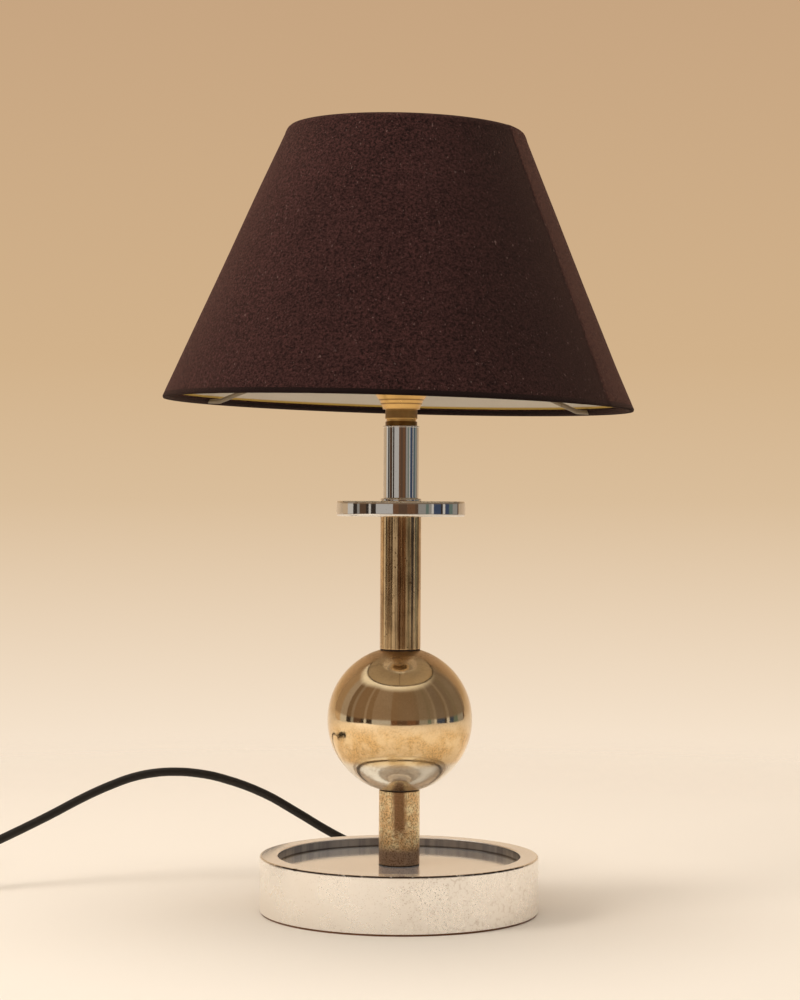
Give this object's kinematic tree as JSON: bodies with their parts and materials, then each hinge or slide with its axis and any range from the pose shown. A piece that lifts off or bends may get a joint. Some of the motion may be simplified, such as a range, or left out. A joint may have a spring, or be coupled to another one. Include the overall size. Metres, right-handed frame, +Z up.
{
  "type": "table lamp",
  "caption": "Table lamp with a dished round base, a stem of metal tubes with a ball and a disc, a dark felt cone shade that turns on its ring, a screw-in bulb and a corded rocker switch.",
  "frame": {"origin": "middle of the underside of the base, on the table", "axes": "+Z up the stem, -Y towards the viewer, +X to the viewer's right; the cord leaves towards +Y and runs to -X"},
  "size_m": [0.5107, 0.2819, 0.4215],
  "materials": {
    "pale_nickel": "polished nickel plate, speckled with age",
    "worn_brass": "tarnished, with streaks down its length",
    "ball_metal": "polished, with fine pits",
    "bright_chrome": "bright plate",
    "holder_brass": "turned brass, browned in the grooves",
    "plain_steel": "plain",
    "weight_iron": "as cast",
    "foot_felt": "brown felt",
    "shade_felt": "dark brown felt with lint",
    "lining": "cream card",
    "white_wire": "white lacquer",
    "porcelain": "glazed",
    "opal_glass": "opal",
    "cord_black": "matt",
    "switch_plastic": "fine grain",
    "rocker_plastic": "smooth",
    "fibre": "dark vulcanised fibre",
    "wire_red": "smooth insulation"
  },
  "bodies": {
    "lamp": {"base_shell": "pale_nickel", "base_pad": "foot_felt", "base_plate": "plain_steel", "plate_screws": "plain_steel", "base_weight": "weight_iron", "rod_washer": "plain_steel", "rod_nut": "plain_steel", "stem_rod": "plain_steel", "lower_tube": "worn_brass", "ball": "ball_metal", "ball_washers": "fibre", "middle_tube": "worn_brass", "centring_bushes": "holder_brass", "stem_disc": "bright_chrome", "disc_collar": "bright_chrome", "upper_tube": "bright_chrome", "lock_ring": "holder_brass", "holder_cap": "holder_brass", "holder_skirt": "holder_brass", "holder_core": "porcelain", "screw_shell": "holder_brass", "centre_contact": "holder_brass", "terminals": "holder_brass", "seat_ring": "holder_brass", "clamp_ring": "holder_brass", "lead_wires": "wire_red", "cord_inner": "cord_black", "cord_grip": "switch_plastic", "cord_bush": "cord_black", "cord_arch": "cord_black", "switch_base": "switch_plastic", "switch_cover": "switch_plastic", "rocker_pin": "plain_steel", "switch_contacts": "holder_brass", "switch_link": "holder_brass", "switch_screws": "plain_steel", "cord_coil": "cord_black", "cord_tie": "switch_plastic", "plug_body": "switch_plastic", "plug_pins": "bright_chrome"},
    "shade": {"shade_cover": "shade_felt", "shade_lining": "lining", "shade_top_ring": "white_wire", "shade_frame": "white_wire"},
    "bulb_tip": {"bulb_contact": "holder_brass"},
    "bulb": {"bulb_glass": "opal_glass", "bulb_filament": "plain_steel", "bulb_cap": "plain_steel", "bulb_insulator": "porcelain"},
    "rocker": {"switch_rocker": "rocker_plastic"}
  },
  "joints": [
    {"name": "shade_turn", "type": "hinge", "parent": "lamp", "child": "shade", "pos_m": [-0.001, 0, 0.303], "axis": [0.0244, 0, 0.9997], "continuous": true},
    {"name": "bulb_rise", "type": "slide", "parent": "lamp", "child": "bulb_tip", "axis": [0, 0, 1], "range_m": [0, 0.00907]},
    {"name": "bulb_turn", "type": "hinge", "parent": "bulb_tip", "child": "bulb", "pos_m": [0, 0, 0.3], "axis": [0, 0, 1], "range_deg": [0, 900]},
    {"name": "rocker_press", "type": "hinge", "parent": "lamp", "child": "rocker", "pos_m": [-0.326, 0.036, 0.014], "axis": [0, 1, 0], "range_deg": [0, 16]}
  ],
  "couplings": [
    {"joint": "bulb_turn", "follows": "bulb_rise", "rad_per_m": 1731.6}
  ]
}
